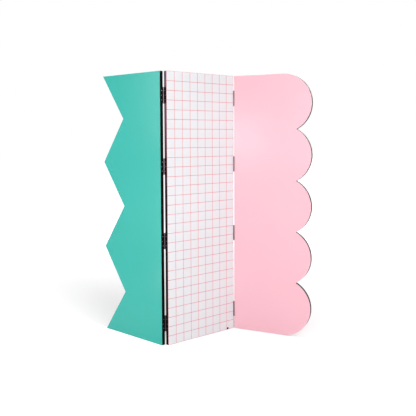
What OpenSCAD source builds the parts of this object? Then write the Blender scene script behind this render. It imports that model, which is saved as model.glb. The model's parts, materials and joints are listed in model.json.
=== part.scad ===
// Three-board folding screen, standing in a zigzag.
// Each board is a stiff core between two thin face sheets, with a dark band round its edge.
// The left board's outer edge is cut into points, and the right board's into round lobes.
// Surface-fitted butt hinges join the ends of the boards, and each board stands on two glides.
// Millimetres, +Z up, front towards -Y. The origin is on the floor, in the middle of the footprint.

/* [Boards] */
// Height of each board, without its glides
board_h = 1700; // [1400:10:2000]
// Width of each board
board_w = 528; // [460:1:620]
// Thickness of a finished board
board_t = 26; // [20:0.5:32]
// Thickness of each face sheet
sheet_t = 1; // [0.6:0.1:2]
// Thickness of the band round the edge
band_t = 2; // [1:0.5:4]

/* [Outer edges] */
// Number of V-shaped notches in the left board's outer edge
notch_count = 3; // [2:1:5]
// Depth of each V-shaped notch
notch_depth = 194; // [100:1:240]
// Number of round lobes on the right board's outer edge
lobe_count = 5; // [4:1:7]
// Radius of each round lobe
lobe_radius = 187.5; // [175:0.5:220]

/* [Standing pose] */
// Turn of the middle board from the screen's front
middle_turn = 38.4; // [20:0.1:60]
// Fold between the left and middle boards, from flat
left_fold = 77.6; // [30:0.1:120]
// Fold between the middle and right boards, from flat
right_fold = 62.8; // [30:0.1:120]

/* [Hinges] */
// Length of each hinge
hinge_l = 100; // [80:1:120]
// Thickness of a hinge leaf, and of its rolled knuckles
leaf_t = 1.6; // [1.2:0.1:3]
// Distance from a leaf's free edge to the far face of the board
leaf_margin = 2; // [0:0.5:5]
// Gap between two leaves of a hinge when they close on each other
leaf_gap = 0.3; // [0.2:0.1:1.5]
// Number of knuckles along a hinge
knuckle_count = 5; // [3:2:9]
// Gap between neighbouring knuckles
knuckle_gap = 0.3; // [0.2:0.1:1]
// Diameter of the hinge pin
pin_d = 4.5; // [3.5:0.1:7]
// Radial running clearance of the pin in its knuckles
pin_clearance = 0.05; // [0.02:0.01:0.1]
// Height of the lowest hinge's middle above the board's bottom edge
lowest_hinge_rise = 134; // [80:1:250]
// Distance from the highest hinge's middle down from the board's top edge
highest_hinge_drop = 147; // [80:1:250]
// Place of the second hinge, as a share of the way from the lowest to the highest
second_hinge_share = 0.367; // [0.2:0.001:0.45]
// Place of the third hinge, as a share of the way from the lowest to the highest
third_hinge_share = 0.693; // [0.55:0.001:0.8]

/* [Screws] */
// Number of screws in each hinge leaf
screw_count = 3; // [2:1:5]
// Length of a screw with its head
screw_l = 20; // [16:1:30]
// Diameter of a screw's shank
screw_d = 3.5; // [3:0.1:4]
// Diameter of a screw's countersunk head
screw_head_d = 6.4; // [5.5:0.1:8]
// Distance of the end screws from the ends of the leaf
screw_end_inset = 21.5; // [8:0.5:25]
// Distance of the end screws from the board's face beside the pin
near_row_inset = 11; // [7:0.5:13]
// Distance of the screws between them from the leaf's free edge
far_row_inset = 8; // [5:0.5:12]

/* [Glides and buffer] */
// Diameter of a glide
glide_d = 16; // [12:1:20]
// Height of a glide under the board
glide_h = 3; // [2:0.5:8]
// Diameter of a glide's stem
glide_stem_d = 5; // [4:0.5:7]
// Length of a glide's stem in the board
glide_stem_l = 14; // [8:1:25]
// Distance of a glide from the straight bottom edge's end
glide_inset = 40; // [20:1:100]
// Diameter of the round buffer on the middle board's front
buffer_d = 15; // [8:1:18]
// Height of the buffer's dome
buffer_h = 3; // [2:0.5:4]
// Distance of the buffer's centre from the middle board's right-hand end
buffer_inset = 50; // [20:1:150]
// Distance of the buffer's rim from the board's bottom edge
buffer_rise = 0; // [0:0.5:40]

/* [Hidden] */
$fn = 96;

// A bit of extra length that carries a cutting tool clear through
through = 1;
// Radial room round a screw's shank or a glide's stem
stem_room = 0.05;
// Depth of a screw's head below the leaf, and room round the head in its countersink
head_room = 0.1;
// Length, width and depth of each arm of the cross recess in a screw's head
recess_l = 3.6;
recess_w = 0.9;
recess_depth = 1;
// Room between a knuckle and the other leaf's cut edge, or the corner of a board
knuckle_room = 0.3;
// Thickness and overhang of a pin's riveted ends, and their gap to the end knuckles
pin_head_t = 1;
pin_head_overhang = 1.1;
pin_head_gap = 0.1;
// Bevel on the rims of the pin's ends and of the glides
rim_bevel = 0.5;

// Radius of a knuckle: the leaf is rolled round the pin
knuckle_r = pin_d / 2 + pin_clearance + leaf_t;
// Gap between two boards at a fold: both leaves and the gap between them
fold_gap = 2 * leaf_t + leaf_gap;
// The hinge axis stands this far proud of the board's face, so that the knuckles clear its corner
axis_out = sqrt(pow(knuckle_r + knuckle_room, 2) - pow(fold_gap / 2, 2));
// Width of the part of a leaf that lies on the board's end
leaf_reach = board_t - leaf_margin;
// Thickness of the core and of the band, between the face sheets
core_t = board_t - 2 * sheet_t;

// Middles of the hinges above the board's bottom edge
hinge_span = board_h - lowest_hinge_rise - highest_hinge_drop;
hinge_z = [
  for (share = [0, second_hinge_share, third_hinge_share, 1]) lowest_hinge_rise + share * hinge_span
];
hinge_numbers = [1 : len(hinge_z)];

// Height from a notch's root to its mouth's corner, and between the centres of two lobes
notch_half_pitch = board_h / (2 * notch_count);
lobe_pitch = (board_h - 2 * lobe_radius) / (lobe_count - 1);
// End of the straight bottom edge of the right board
lobe_start = board_w - lobe_radius;

// Turns of the left and right boards from the screen's front
left_turn = left_fold - middle_turn;
right_turn = right_fold - middle_turn;

function turned(p, a) = [p.x * cos(a) - p.y * sin(a), p.x * sin(a) + p.y * cos(a)];

// Axis of the right fold, seen from the axis of the left fold
right_axis = turned([board_w + fold_gap, -board_t - 2 * axis_out], middle_turn);

// Places in plan, seen from the axis of the left fold, of a point x along and y through a board
function left_place(x, y) = turned([-x - fold_gap / 2, y - board_t - axis_out], -left_turn);
function middle_place(x, y) = turned([x + fold_gap / 2, y - board_t - axis_out], middle_turn);
function right_place(x, y) = right_axis + turned([x + fold_gap / 2, y + axis_out], -right_turn);

// Corners of the footprint, with the knuckles' outermost points
footprint = concat(
  [for (x = [0, board_w], y = [0, board_t]) left_place(x, y)],
  [for (x = [0, board_w], y = [0, board_t]) middle_place(x, y)],
  [for (x = [0, board_w], y = [0, board_t]) right_place(x, y)],
  [for (axis = [[0, 0], right_axis], side = [-knuckle_r, knuckle_r]) axis + [side, side]]
);
footprint_x = [for (p = footprint) p.x];
footprint_y = [for (p = footprint) p.y];
footprint_middle = [
  (min(footprint_x) + max(footprint_x)) / 2,
  (min(footprint_y) + max(footprint_y)) / 2
];

// Places of the boards. In a board's own frame, X runs along its width from a hinged end,
// Y runs through its thickness from the front face, and Z rises from its bottom edge.
module on_floor() translate([-footprint_middle.x, -footprint_middle.y, glide_h]) children();

module place_left() {
  on_floor() rotate([0, 0, -left_turn]) mirror([1, 0, 0])
    translate([fold_gap / 2, -board_t - axis_out, 0]) children();
}

module place_middle() {
  on_floor() rotate([0, 0, middle_turn])
    translate([fold_gap / 2, -board_t - axis_out, 0]) children();
}

module place_right() {
  on_floor() translate(right_axis) rotate([0, 0, -right_turn])
    translate([fold_gap / 2, axis_out, 0]) children();
}

// Places of a hinge on a board. In the hinge's frame, Z is the pin's axis, X points into the
// board and Y runs across the board's end, from the face beside the pin.
module hinge_behind() translate([-fold_gap / 2, board_t + axis_out, 0]) mirror([0, 1, 0]) children();

module hinge_in_front() translate([-fold_gap / 2, -axis_out, 0]) children();

module hinge_at_far_end() {
  translate([board_w + fold_gap / 2, -axis_out, 0]) mirror([1, 0, 0]) children();
}

// Outlines of the boards, drawn in by the given inset all round
module plain_outline(inset) {
  translate([inset, inset]) square([board_w - 2 * inset, board_h - 2 * inset]);
}

// The slanted flanks move in along the width by more than the inset, so that the band is even
module notched_outline(inset) {
  slope = notch_depth / notch_half_pitch;
  tip_x = board_w - inset * sqrt(1 + slope * slope);
  end_x = tip_x - inset * slope;
  corners = [for (i = [1 : 2 * notch_count - 1]) [tip_x - (i % 2) * notch_depth, i * notch_half_pitch]];
  polygon(concat(
    [[inset, board_h - inset], [inset, inset], [end_x, inset]],
    corners,
    [[end_x, board_h - inset]]
  ));
}

module lobed_outline(inset) {
  translate([inset, inset]) square([lobe_start - 2 * inset, board_h - 2 * inset]);
  for (i = [0 : lobe_count - 1]) {
    translate([lobe_start, lobe_radius + i * lobe_pitch]) circle(lobe_radius - inset);
  }
}

// A flat layer of a board, from y_start through the thickness
module layer(y_start, thickness) {
  translate([0, y_start + thickness, 0]) rotate([90, 0, 0]) linear_extrude(thickness) children();
}

module each_hinge() for (z = hinge_z) translate([0, 0, z]) children();

// Places of a leaf's screws: the end ones lie in the row nearer the pin
module each_screw() {
  pitch = (hinge_l - 2 * screw_end_inset) / (screw_count - 1);
  for (i = [0 : screw_count - 1]) {
    at_end = i == 0 || i == screw_count - 1;
    row_y = at_end ? near_row_inset : leaf_reach - far_row_inset;
    translate([leaf_gap / 2 + head_room, axis_out + row_y, screw_end_inset + i * pitch - hinge_l / 2])
      rotate([0, 90, 0]) children();
  }
}

// Countersunk hole for a screw, through the leaf and into the board
module screw_hole() {
  shank_r = screw_d / 2 + stem_room;
  head_r = screw_head_d / 2 + head_room;
  translate([0, 0, -head_room - through]) cylinder(h = through, r = head_r);
  translate([0, 0, -head_room]) cylinder(h = head_r - shank_r, r1 = head_r, r2 = shank_r);
  translate([0, 0, -head_room]) cylinder(h = head_room + screw_l + through, r = shank_r);
}

module screw_holes() each_hinge() each_screw() screw_hole();

module glide_holes(places) {
  for (x = places) {
    translate([x, board_t / 2, -through])
      cylinder(h = glide_stem_l + 2 * through, r = glide_stem_d / 2 + stem_room);
  }
}

left_glides = [glide_inset, board_w - glide_inset];
middle_glides = [glide_inset, board_w - glide_inset];
right_glides = [glide_inset, lobe_start - glide_inset];

module left_holes() {
  hinge_behind() screw_holes();
  glide_holes(left_glides);
}

module middle_holes() {
  hinge_behind() screw_holes();
  hinge_at_far_end() screw_holes();
  glide_holes(middle_glides);
}

module right_holes() {
  hinge_in_front() screw_holes();
  glide_holes(right_glides);
}

// Left board
module left_core() {
  color("burlywood") place_left() difference() {
    layer(sheet_t, core_t) notched_outline(band_t);
    left_holes();
  }
}

module left_edge_band() {
  color("black") place_left() difference() {
    layer(sheet_t, core_t) difference() {
      notched_outline(0);
      notched_outline(band_t);
    }
    left_holes();
  }
}

module left_front_sheet() color("mediumturquoise") place_left() layer(0, sheet_t) notched_outline(0);

module left_back_sheet() {
  color("mediumturquoise") place_left() layer(board_t - sheet_t, sheet_t) notched_outline(0);
}

// Middle board
module middle_core() {
  color("burlywood") place_middle() difference() {
    layer(sheet_t, core_t) plain_outline(band_t);
    middle_holes();
  }
}

module middle_edge_band() {
  color("black") place_middle() difference() {
    layer(sheet_t, core_t) difference() {
      plain_outline(0);
      plain_outline(band_t);
    }
    middle_holes();
  }
}

module middle_front_sheet() color("whitesmoke") place_middle() layer(0, sheet_t) plain_outline(0);

module middle_back_sheet() {
  color("whitesmoke") place_middle() layer(board_t - sheet_t, sheet_t) plain_outline(0);
}

// Right board
module right_core() {
  color("burlywood") place_right() difference() {
    layer(sheet_t, core_t) lobed_outline(band_t);
    right_holes();
  }
}

module right_edge_band() {
  color("black") place_right() difference() {
    layer(sheet_t, core_t) difference() {
      lobed_outline(0);
      lobed_outline(band_t);
    }
    right_holes();
  }
}

module right_front_sheet() color("pink") place_right() layer(0, sheet_t) lobed_outline(0);

module right_back_sheet() {
  color("pink") place_right() layer(board_t - sheet_t, sheet_t) lobed_outline(0);
}

// Butt hinge, in its own frame at its middle. The knuckles whose number, counted from 0 at the
// bottom, leaves the given parity belong to the leaf, and it is cut back beside the others.
module leaf(parity) {
  knuckle_l = hinge_l / knuckle_count;
  color("dimgray") difference() {
    union() {
      translate([leaf_gap / 2, 0, -hinge_l / 2]) cube([leaf_t, axis_out + leaf_reach, hinge_l]);
      for (i = [parity : 2 : knuckle_count - 1]) {
        translate([0, 0, i * knuckle_l - hinge_l / 2 + knuckle_gap / 2])
          cylinder(h = knuckle_l - knuckle_gap, r = knuckle_r);
      }
    }
    cylinder(h = hinge_l + 2 * through, r = pin_d / 2 + pin_clearance, center = true);
    for (i = [1 - parity : 2 : knuckle_count - 1]) {
      translate([0, -through, i * knuckle_l - hinge_l / 2 - knuckle_gap / 2])
        cube([2 * leaf_t, knuckle_r + knuckle_room + through, knuckle_l + knuckle_gap]);
    }
    each_screw() screw_hole();
  }
}

module pin() {
  pin_r = pin_d / 2;
  head_r = pin_r + pin_head_overhang;
  head_z = hinge_l / 2 + pin_head_gap;
  end_z = head_z + pin_head_t;
  color("gray") rotate_extrude() polygon([
    [0, -end_z], [head_r - rim_bevel, -end_z], [head_r, rim_bevel - end_z], [head_r, -head_z],
    [pin_r, -head_z], [pin_r, head_z],
    [head_r, head_z], [head_r, end_z - rim_bevel], [head_r - rim_bevel, end_z], [0, end_z]
  ]);
}

// Countersunk wood screw, from the top of its head along +Z
module screw() {
  shank_r = screw_d / 2;
  head_r = screw_head_d / 2;
  head_t = head_r - shank_r;
  difference() {
    rotate_extrude() polygon([
      [0, 0], [head_r, 0], [shank_r, head_t], [shank_r, screw_l - screw_d], [0, screw_l]
    ]);
    for (a = [0, 90]) {
      rotate([0, 0, a]) translate([-recess_l / 2, -recess_w / 2, -through])
        cube([recess_l, recess_w, recess_depth + through]);
    }
  }
}

module screws() color("silver") each_hinge() each_screw() screw();

// Nail-in glide, with its top face against the board's bottom edge
module glide() {
  r = glide_d / 2;
  stem_r = glide_stem_d / 2;
  color("ghostwhite") rotate_extrude() polygon([
    [0, -glide_h], [r - rim_bevel, -glide_h], [r, rim_bevel - glide_h], [r, 0],
    [stem_r, 0], [stem_r, glide_stem_l - stem_r], [0, glide_stem_l]
  ]);
}

module glide_at(x) translate([x, board_t / 2, 0]) glide();

// Domed rubber buffer on the front of the middle board
module buffer() {
  dome_r = (pow(buffer_d / 2, 2) + pow(buffer_h, 2)) / (2 * buffer_h);
  color("black") place_middle()
    translate([board_w - buffer_inset, 0, buffer_rise + buffer_d / 2]) rotate([90, 0, 0])
      intersection() {
        translate([0, 0, buffer_h - dome_r]) sphere(dome_r);
        cylinder(h = buffer_h, r = buffer_d);
      }
}

left_core();
left_edge_band();
left_front_sheet();
left_back_sheet();
place_left() glide_at(left_glides[0]);  // left_inner_glide
place_left() glide_at(left_glides[1]);  // left_outer_glide

middle_core();
middle_edge_band();
middle_front_sheet();
middle_back_sheet();
place_middle() glide_at(middle_glides[0]);  // middle_left_glide
place_middle() glide_at(middle_glides[1]);  // middle_right_glide
buffer();  // middle_buffer

right_core();
right_edge_band();
right_front_sheet();
right_back_sheet();
place_right() glide_at(right_glides[0]);  // right_inner_glide
place_right() glide_at(right_glides[1]);  // right_outer_glide

for (i = hinge_numbers) {
  at_z = [0, 0, hinge_z[i - 1]];
  left_name = str("left_fold_hinge_", i);
  right_name = str("right_fold_hinge_", i);
  place_left() hinge_behind() translate(at_z) leaf(1);
  place_middle() hinge_behind() translate(at_z) leaf(0);
  place_middle() hinge_behind() translate(at_z) pin();
  place_middle() hinge_at_far_end() translate(at_z) leaf(0);
  place_right() hinge_in_front() translate(at_z) leaf(1);
  place_middle() hinge_at_far_end() translate(at_z) pin();
}

place_left() hinge_behind() screws();  // left_fold_left_screws
place_middle() hinge_behind() screws();  // left_fold_middle_screws
place_middle() hinge_at_far_end() screws();  // right_fold_middle_screws
place_right() hinge_in_front() screws();  // right_fold_right_screws
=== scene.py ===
import json
import math

import bpy
from mathutils import Matrix, Vector

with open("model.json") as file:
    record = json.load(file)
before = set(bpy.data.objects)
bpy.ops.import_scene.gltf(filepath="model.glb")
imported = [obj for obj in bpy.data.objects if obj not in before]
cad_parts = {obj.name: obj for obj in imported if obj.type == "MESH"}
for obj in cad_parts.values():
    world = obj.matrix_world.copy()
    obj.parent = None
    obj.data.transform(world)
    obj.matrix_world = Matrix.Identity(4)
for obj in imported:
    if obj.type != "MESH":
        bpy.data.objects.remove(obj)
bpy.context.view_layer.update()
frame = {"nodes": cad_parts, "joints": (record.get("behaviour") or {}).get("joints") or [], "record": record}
nodes = frame["nodes"]
scene = bpy.context.scene

# Sizes of the screen in metres, and the turns of its boards at rest
BOARD_H, BOARD_W = 1.7, 0.528
GLIDE_H = 0.003
HALF_FOLD_GAP = 0.00175
GRID_COLUMNS, GRID_ROWS = 9, 29
LEFT_TURN, MIDDLE_TURN, RIGHT_TURN = (math.radians(degrees) for degrees in (39.2, 38.4, 24.4))
LEFT_AXIS, RIGHT_AXIS = (Vector(joint["pos_m"]) for joint in frame["joints"])

# A printed line, from its middle: how far it has its full ink, where it ends, and how far it strays
LINE_FULL, LINE_END, LINE_WAVER = 0.001, 0.0015, 0.00012
# Distance from a hinge axis within which steel is shown bare as a painted highlight on the knuckles, and
# beyond which it is coated
BARE_HIGHLIGHT_WITHIN, COATED_BEYOND = 0.0042, 0.0048
# Distance from the left hinge axis within which an edge band gets painted purple-grey light, and beyond
# which it doesn't
PAINTED_LIGHT_WITHIN, PLAIN_BEYOND = 0.034, 0.04

# Satin gloss of the laminates: roughness, least and most, and specular level
SATIN_ROUGHNESS, SATIN_SHINE = (0.235, 0.268), 0.35
# The values between which most of a noise texture lies
NOISE_SPAN = (0.3, 0.7)

# The floor: how far it reaches each way, its grey, the glow that the camera and reflections see
# added to it, and how much of that the shadow takes
FLOOR_REACH = 30
FLOOR_GREY = 0.7
FLOOR_GLOW, SHADE_DEPTH = 0.31, 0.238
# Depth under a board in which the floor's glow goes out
GLOW_BLEND = 0.035
# Back face of the right board, behind its hinge axis. The left fold's axis lies at the back faces
RIGHT_BACK_FACE = 0.032
# Light of the world: on surfaces, and as the camera and reflections see it
WORLD_LIGHT, WORLD_SEEN = 0.3, 1.0
# Middle of the screen, at which most lamps point
MIDDLE = (0, 0, 0.85)

BLACK, WHITE = (0, 0, 0, 1), (1, 1, 1, 1)


class Nodes:
    """A node tree that is emptied and made anew with short calls."""

    def __init__(self, tree, output):
        self.tree = tree
        self.tree.nodes.clear()
        self.out = self.add(output)

    def add(self, kind, **settings):
        node = self.tree.nodes.new(kind)
        for key, value in settings.items():
            setattr(node, key, value)
        return node

    def put(self, socket, value):
        """Links a socket to another, or sets a constant on it."""
        if isinstance(value, bpy.types.NodeSocket):
            self.tree.links.new(value, socket)
        else:
            socket.default_value = value

    def math(self, operation, *values):
        node = self.add("ShaderNodeMath", operation=operation)
        for socket, value in zip(node.inputs, values):
            self.put(socket, value)
        return node.outputs[0]

    def chain(self, operation, result, *others):
        """One operation on any number of values, from first to last."""
        for other in others:
            result = self.math(operation, result, other)
        return result

    def ramp(self, value, span, to=(0.0, 1.0), smooth=False):
        """Maps a span of values to another, and holds its ends beyond it."""
        style = "SMOOTHSTEP" if smooth else "LINEAR"
        node = self.add("ShaderNodeMapRange", interpolation_type=style)
        for socket, item in zip(node.inputs, (value, *span, *to)):
            self.put(socket, item)
        return node.outputs[0]

    def seen_plain(self):
        """1 for what the camera, a reflection or a view through glass sees, 0 for other light."""
        path = self.add("ShaderNodeLightPath")
        rays = ("Is Camera Ray", "Is Glossy Ray", "Is Transmission Ray")
        return self.chain("MAXIMUM", *(path.outputs[ray] for ray in rays))


class Shader(Nodes):
    """A new material and its nodes."""

    def __init__(self, name):
        self.material = bpy.data.materials.new(name)
        self.material.use_nodes = True
        super().__init__(self.material.node_tree, "ShaderNodeOutputMaterial")
        self.position = self.add("ShaderNodeTexCoord").outputs["Object"]

    def mix(self, factor, a, b, mode="MIX"):
        node = self.add("ShaderNodeMix", data_type="RGBA", blend_type=mode)
        color_sockets = (node.inputs[0], node.inputs[6], node.inputs[7])
        for socket, value in zip(color_sockets, (factor, a, b)):
            self.put(socket, value)
        return node.outputs[2]

    def place(self, location=(0, 0, 0), turn=0.0, scale=(1, 1, 1)):
        """The position in axes with this origin, turn about Z and stretch."""
        node = self.add("ShaderNodeMapping", vector_type="TEXTURE")
        self.put(node.inputs["Vector"], self.position)
        node.inputs["Location"].default_value = location
        node.inputs["Rotation"].default_value = (0, 0, turn)
        node.inputs["Scale"].default_value = scale
        return node.outputs[0]

    def split(self, vector):
        node = self.add("ShaderNodeSeparateXYZ")
        self.put(node.inputs[0], vector)
        return node.outputs

    def length(self, vector):
        node = self.add("ShaderNodeVectorMath", operation="LENGTH")
        self.put(node.inputs[0], vector)
        return node.outputs["Value"]

    def from_axis(self, axis):
        """Distance from a vertical axis. The stretch takes the height out of it."""
        return self.length(self.place(location=axis, scale=(1, 1, 1e6)))

    def noise(self, scale, detail=2.0, roughness=0.5, source=None):
        node = self.add("ShaderNodeTexNoise")
        self.put(node.inputs["Vector"], source or self.position)
        node.inputs["Scale"].default_value = scale
        node.inputs["Detail"].default_value = detail
        node.inputs["Roughness"].default_value = roughness
        return node.outputs["Fac"]

    def bump(self, height, distance, strength):
        node = self.add("ShaderNodeBump")
        node.inputs["Strength"].default_value = strength
        node.inputs["Distance"].default_value = distance
        self.put(node.inputs["Height"], height)
        return node.outputs[0]

    def surface(self, color, roughness, normal, metallic=0.0, shine=0.5):
        node = self.add("ShaderNodeBsdfPrincipled")
        self.put(node.inputs["Base Color"], color)
        self.put(node.inputs["Roughness"], roughness)
        self.put(node.inputs["Normal"], normal)
        self.put(node.inputs["Metallic"], metallic)
        node.inputs["Specular IOR Level"].default_value = shine
        self.put(self.out.inputs["Surface"], node.outputs[0])
        return self.material

    def satin(self, color, source=None):
        """Satin surface with a fine grain in its gloss and a fine pebbled skin."""
        grain = self.noise(14.0, detail=4.0, roughness=0.6, source=source)
        gloss = self.ramp(grain, NOISE_SPAN, SATIN_ROUGHNESS)
        skin = self.bump(self.noise(1100.0), distance=0.00002, strength=0.2)
        return self.surface(color, gloss, skin, shine=SATIN_SHINE)


def rgb(r, g, b):
    """A colour given as it looks on a screen, 0 to 255."""
    def linear(value):
        value /= 255
        return value / 12.92 if value <= 0.04045 else ((value + 0.055) / 1.055) ** 2.4
    return (linear(r), linear(g), linear(b), 1.0)


def laminate(name, color, deep, turn):
    """Satin laminate with faint clouds between two tones and a fine speckle."""
    s = Shader(name)
    along = s.place(turn=turn)
    clouds = s.noise(2.2, detail=3.0, source=along)
    tint = s.mix(s.ramp(clouds, (0.35, 0.65), smooth=True), deep, color)
    speck = s.ramp(s.noise(900.0, detail=1.0), NOISE_SPAN, (0.985, 1.015))
    tint = s.mix(1.0, tint, s.mix(speck, BLACK, WHITE), "MULTIPLY")
    return s.satin(tint, along)


def grid_laminate(name):
    """White satin laminate with a thin pink square grid printed under the skin."""
    s = Shader(name)
    local = s.split(s.place(location=LEFT_AXIS, turn=MIDDLE_TURN))
    clouds = s.ramp(s.noise(2.4, detail=3.0), (0.35, 0.65), smooth=True)
    color = s.mix(clouds, rgb(241, 242, 245), rgb(243, 244, 247))
    waver = s.ramp(s.noise(45.0), NOISE_SPAN, (-LINE_WAVER, LINE_WAVER))
    ink = s.ramp(s.noise(160.0, detail=3.0, roughness=0.6), NOISE_SPAN, (0.82, 1.0))
    for value, start, pitch in (
        (local["X"], HALF_FOLD_GAP, BOARD_W / GRID_COLUMNS),
        (local["Z"], GLIDE_H, BOARD_H / GRID_ROWS),
    ):
        steps = s.math("DIVIDE", s.math("SUBTRACT", s.math("ADD", value, waver), start), pitch)
        from_line = s.math("ABSOLUTE", s.math("SUBTRACT", steps, s.math("ROUND", steps)))
        from_line = s.math("MULTIPLY", from_line, pitch)
        line = s.ramp(from_line, (LINE_FULL, LINE_END), (1.0, 0.0), smooth=True)
        inked = s.mix(1.0, color, rgb(241, 94, 120), "MULTIPLY")
        color = s.mix(s.math("MULTIPLY", line, ink), color, inked)
    return s.satin(color)


def black_edge(name, painted_light=0.0):
    """Matt black edge band: faint rub marks and a fine grain. A share of it gets painted light, a purple
    grey near the left hinge axis, more so towards the top."""
    s = Shader(name)
    rubs = s.noise(60.0, detail=5.0, roughness=0.65, source=s.place(scale=(1, 1, 6)))
    color = s.mix(s.ramp(rubs, (0.45, 0.8), smooth=True), rgb(4, 3, 4), rgb(9, 8, 10))
    # Painted light: a purple-grey lightening near the left hinge axis, growing towards the top
    if painted_light:
        near = s.ramp(s.from_axis(LEFT_AXIS), (PAINTED_LIGHT_WITHIN, PLAIN_BEYOND), (1.0, 0.0))
        height = s.split(s.position)["Z"]
        upwards = s.ramp(height, (0.9, 1.72), (0.0, painted_light), smooth=True)
        color = s.mix(s.math("MULTIPLY", near, upwards), color, rgb(112, 100, 118))
    gloss = s.ramp(rubs, NOISE_SPAN, (0.5, 0.62))
    skin = s.bump(s.noise(1500.0), distance=0.00005, strength=0.6)
    return s.surface(color, gloss, skin, shine=0.08)


def hinge_steel(name):
    """Steel with a black coat. Round each hinge axis the rolled knuckles show bare steel with rub marks as a
    painted highlight, and painted shade keeps them less bare low down on the left fold."""
    s = Shader(name)
    rubs = s.noise(320.0, detail=4.0, roughness=0.6, source=s.place(scale=(1, 1, 8)))
    from_axis = s.math("MINIMUM", s.from_axis(LEFT_AXIS), s.from_axis(RIGHT_AXIS))
    position = s.split(s.position)
    # Painted shade: the knuckles are left less bare low down on the left fold
    on_left_fold = s.ramp(position["X"], (-0.1, 0.1), (0.6, 0.0))
    shade_low_down = s.ramp(position["Z"], (0.3, 0.85), (1.0, 0.0))
    # Painted highlight: bare steel on the knuckles round each hinge axis, with rub marks in it
    bare_as_highlight = s.chain(
        "MULTIPLY",
        s.ramp(from_axis, (BARE_HIGHLIGHT_WITHIN, COATED_BEYOND), (1.0, 0.0), smooth=True),
        s.ramp(rubs, (0.25, 0.5), (0.75, 1.0)),
        s.math("SUBTRACT", 1.0, s.math("MULTIPLY", on_left_fold, shade_low_down)),
    )
    coat = s.mix(s.ramp(rubs, (0.35, 0.75)), rgb(5, 4, 6), rgb(13, 12, 15))
    steel = s.mix(s.ramp(rubs, NOISE_SPAN), rgb(108, 96, 103), rgb(136, 122, 130))
    gloss = s.ramp(rubs, NOISE_SPAN, (0.3, 0.4))
    skin = s.bump(s.noise(2400.0), distance=0.00003, strength=0.5)
    metallic = s.math("MULTIPLY", bare_as_highlight, 0.9)
    return s.surface(s.mix(bare_as_highlight, coat, steel), gloss, skin, metallic, shine=0.15)


def bright_steel(name, low, high, roughness):
    """Plated or turned steel, a little uneven."""
    s = Shader(name)
    marks = s.noise(500.0, detail=3.0, roughness=0.6)
    color = s.mix(s.ramp(marks, NOISE_SPAN), low, high)
    skin = s.bump(s.noise(2600.0), distance=0.00003, strength=0.5)
    return s.surface(color, s.ramp(marks, NOISE_SPAN, roughness), skin, metallic=1.0)


def plain_plastic(name, low, high, roughness, grain, shine=0.5):
    """Moulded plastic or rubber: faint clouds between two tones and a moulded grain."""
    s = Shader(name)
    clouds = s.noise(120.0, detail=3.0)
    color = s.mix(s.ramp(clouds, NOISE_SPAN), low, high)
    skin = s.bump(s.noise(grain), distance=0.00006, strength=0.6)
    return s.surface(color, s.ramp(clouds, NOISE_SPAN, roughness), skin, shine=shine)


def board_core(name):
    """Raw board: flecks in two browns."""
    s = Shader(name)
    flecks = s.noise(90.0, detail=4.0, roughness=0.65, source=s.place(scale=(1, 1, 3)))
    color = s.mix(s.ramp(flecks, NOISE_SPAN), rgb(150, 116, 78), rgb(205, 174, 128))
    return s.surface(color, 0.8, s.bump(flecks, distance=0.0003, strength=0.6))


materials = {
    "core_board": board_core("board_core"),
    "black_edge": black_edge("black_edge_band"),
    "teal_laminate": laminate(
        "turquoise_laminate", rgb(41, 168, 156), rgb(39, 166, 154), -LEFT_TURN
    ),
    "grid_laminate": grid_laminate("grid_laminate"),
    "pink_laminate": laminate(
        "pink_laminate", rgb(243, 189, 201), rgb(243, 187, 199), -RIGHT_TURN
    ),
    "hinge_leaf": hinge_steel("black_coated_steel"),
    "hinge_pin": bright_steel("pin_steel", rgb(120, 118, 122), rgb(160, 158, 162), (0.3, 0.42)),
    "screw_zinc": bright_steel("zinc_plate", rgb(150, 150, 154), rgb(190, 190, 194), (0.28, 0.4)),
    "glide_nylon": plain_plastic(
        "white_nylon", rgb(232, 231, 228), rgb(240, 239, 236), (0.45, 0.55), grain=1800.0
    ),
    "black_rubber": plain_plastic(
        "black_rubber", rgb(5, 4, 5), rgb(11, 9, 10), (0.65, 0.75), grain=2200.0, shine=0.12
    ),
}

slot_of = {part["node"]: part["material_slot"] for part in frame["record"]["subparts"]}
for name, piece in nodes.items():
    piece.data.materials[0] = materials[slot_of[name]]
# The middle board's band gets painted purple-grey light near the left hinge axis
nodes["middle_edge_band"].data.materials[0] = black_edge("black_edge_band_painted_light", 0.8)


def stage_plane(name, corners, material):
    mesh = bpy.data.meshes.new(name)
    mesh.from_pydata(corners, [], [(0, 1, 2, 3)])
    mesh.materials.append(material)
    plane = bpy.data.objects.new(name, mesh)
    scene.collection.objects.link(plane)


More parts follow.
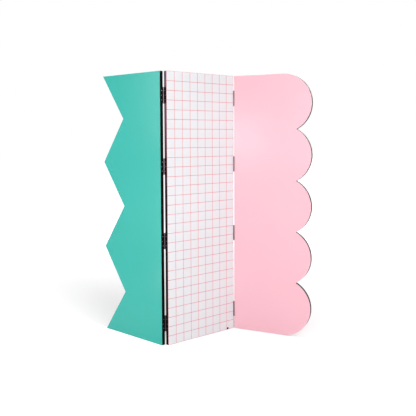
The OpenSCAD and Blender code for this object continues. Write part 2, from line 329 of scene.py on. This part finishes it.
def floor_material():
    """White floor. The camera and reflections see a glow added to it, which takes it to plain white. The
    glow is strongest in front of the boards, and behind them it dips in a painted soft shadow."""
    s = Shader("floor_white")

    def in_front(axis, turn, back_face):
        """1 in front of a board that has this turn, 0 behind it, blended under the board."""
        local = s.split(s.place(location=axis, turn=turn))
        return s.ramp(local["Y"], (back_face, back_face - GLOW_BLEND), smooth=True)

    of_middle = in_front(LEFT_AXIS, MIDDLE_TURN, 0.0)
    of_right = in_front(RIGHT_AXIS, -RIGHT_TURN, RIGHT_BACK_FACE)
    of_left = in_front(LEFT_AXIS, -LEFT_TURN, 0.0)
    front = s.math("MAXIMUM", of_left, s.math("MINIMUM", of_middle, of_right))
    # Painted light: a pool of stronger glow on the floor in front of the left board
    from_pool = s.length(s.place(location=(-0.55, -0.45, 0)))
    pool = s.ramp(from_pool, (0.3, 0.95), (0.5, 0.24), smooth=True)

    # The painted shadow leans to the left as it goes back, and comes forward past the left board's end
    position = s.split(s.position)
    x, y = position["X"], position["Y"]
    across = s.math("ADD", x, s.math("MULTIPLY", s.math("SUBTRACT", y, 0.2), 0.5))
    left_end = s.ramp(across, (-0.93, -0.38), smooth=True)
    right_end = s.ramp(across, (0.62, 0.3), smooth=True)
    far_end = s.ramp(y, (1.9, 0.2), smooth=True)
    near_end = s.ramp(y, (-0.08, 0.12), smooth=True)
    kept_clear = s.math("MULTIPLY", front, s.ramp(x, (-0.76, -0.6), smooth=True))
    behind = s.math("SUBTRACT", 1.0, kept_clear)
    shade = s.chain("MULTIPLY", left_end, right_end, far_end, near_end, behind)

    lit = s.math("ADD", FLOOR_GLOW, s.math("MULTIPLY", front, pool))
    shaded = s.math("SUBTRACT", lit, s.math("MULTIPLY", shade, SHADE_DEPTH))
    on_right = s.ramp(x, (0.45, 0.9), (0.0, 0.12), smooth=True)
    far_off = s.ramp(s.length(s.position), (2.2, 5.0), (0.0, 0.6), smooth=True)
    glow_level = s.chain("ADD", shaded, on_right, far_off)

    diffuse = s.add("ShaderNodeBsdfDiffuse")
    diffuse.inputs["Color"].default_value = (FLOOR_GREY, FLOOR_GREY, FLOOR_GREY, 1)
    glow = s.add("ShaderNodeEmission")
    glow.inputs["Color"].default_value = WHITE
    s.put(glow.inputs["Strength"], s.math("MULTIPLY", s.seen_plain(), glow_level))
    both = s.add("ShaderNodeAddShader")
    s.put(both.inputs[0], diffuse.outputs[0])
    s.put(both.inputs[1], glow.outputs[0])
    s.put(s.out.inputs["Surface"], both.outputs[0])
    return s.material


corner_signs = ((-1, -1), (1, -1), (1, 1), (-1, 1))
floor_corners = [(FLOOR_REACH * x, FLOOR_REACH * y, 0) for x, y in corner_signs]
stage_plane("floor", floor_corners, floor_material())


def studio_world():
    """White surroundings for the camera and reflections, a plain level of light for the rest."""
    world = bpy.data.worlds.new("studio")
    world.use_nodes = True
    w = Nodes(world.node_tree, "ShaderNodeOutputWorld")
    background = w.add("ShaderNodeBackground")
    background.inputs["Color"].default_value = WHITE
    strength = w.ramp(w.seen_plain(), (0.0, 1.0), (WORLD_LIGHT, WORLD_SEEN))
    w.put(background.inputs["Strength"], strength)
    w.put(w.out.inputs["Surface"], background.outputs[0])
    return world


scene.world = studio_world()


def area_light(name, location, target, size, watts):
    light = bpy.data.lights.new(name, "AREA")
    light.shape = "RECTANGLE"
    light.size, light.size_y = size
    light.energy = watts
    lamp = bpy.data.objects.new(name, light)
    lamp.location = location
    aim = Vector(target) - Vector(location)
    lamp.rotation_euler = aim.to_track_quat("-Z", "Y").to_euler()
    lamp.visible_camera = False
    scene.collection.objects.link(lamp)


# A key and a fill in front, small lamps that give the left board its sheen, and two lamps behind
area_light("key_right", (2.02, -2.89, 3.14), MIDDLE, (1.6, 1.6), watts=41.7)
area_light("fill_front", (-0.87, -3.23, 1.44), MIDDLE, (1.3, 1.5), watts=55.3)
area_light("panel_left", (-2.2, -0.75, 1.75), (-0.3, -0.1, 1.3), (1.0, 1.1), watts=11.3)
area_light("glow_left", (-1.96, -1.93, 1.27), (0.22, 0.13, 1.27), (0.4, 0.4), watts=7.9)
area_light("low_left", (-1.1, -1.2, 0.45), (-0.35, -0.1, 0.3), (0.6, 0.6), watts=0.6)
area_light("strip_left", (-2.39, -0.67, 0.65), (-0.3, -0.15, 0.9), (0.4, 1.1), watts=5)
area_light("foot_left", (-1.12, -0.37, 0.2), (-0.25, -0.155, 0.12), (0.3, 0.25), watts=0.4)
for side_name, side_sign in (("left", -1), ("right", 1)):
    area_light(f"back_{side_name}", (side_sign * 2.1, 3.1, 2.3), MIDDLE, (2.8, 2.8), watts=67)


def photo_camera():
    """The photograph's view, along +Y, pitched a little down and rolled a little."""
    data = bpy.data.cameras.new("camera")
    data.sensor_width = 36
    data.lens = 49.33
    data.shift_x, data.shift_y = -0.02243, -0.08346
    pitch, roll = math.radians(3.665), math.radians(-0.164)
    up = Vector((0, math.sin(pitch), math.cos(pitch)))
    side = Vector((1, 0, 0))
    right = side * math.cos(roll) + up * math.sin(roll)
    above = up * math.cos(roll) - side * math.sin(roll)
    turn = Matrix((right, above, right.cross(above))).transposed()
    camera = bpy.data.objects.new("camera", data)
    camera.matrix_world = Matrix.Translation((0.0760, -3.6600, 1.3024)) @ turn.to_4x4()
    scene.collection.objects.link(camera)
    return camera


scene.camera = photo_camera()
scene.view_settings.view_transform = "Standard"
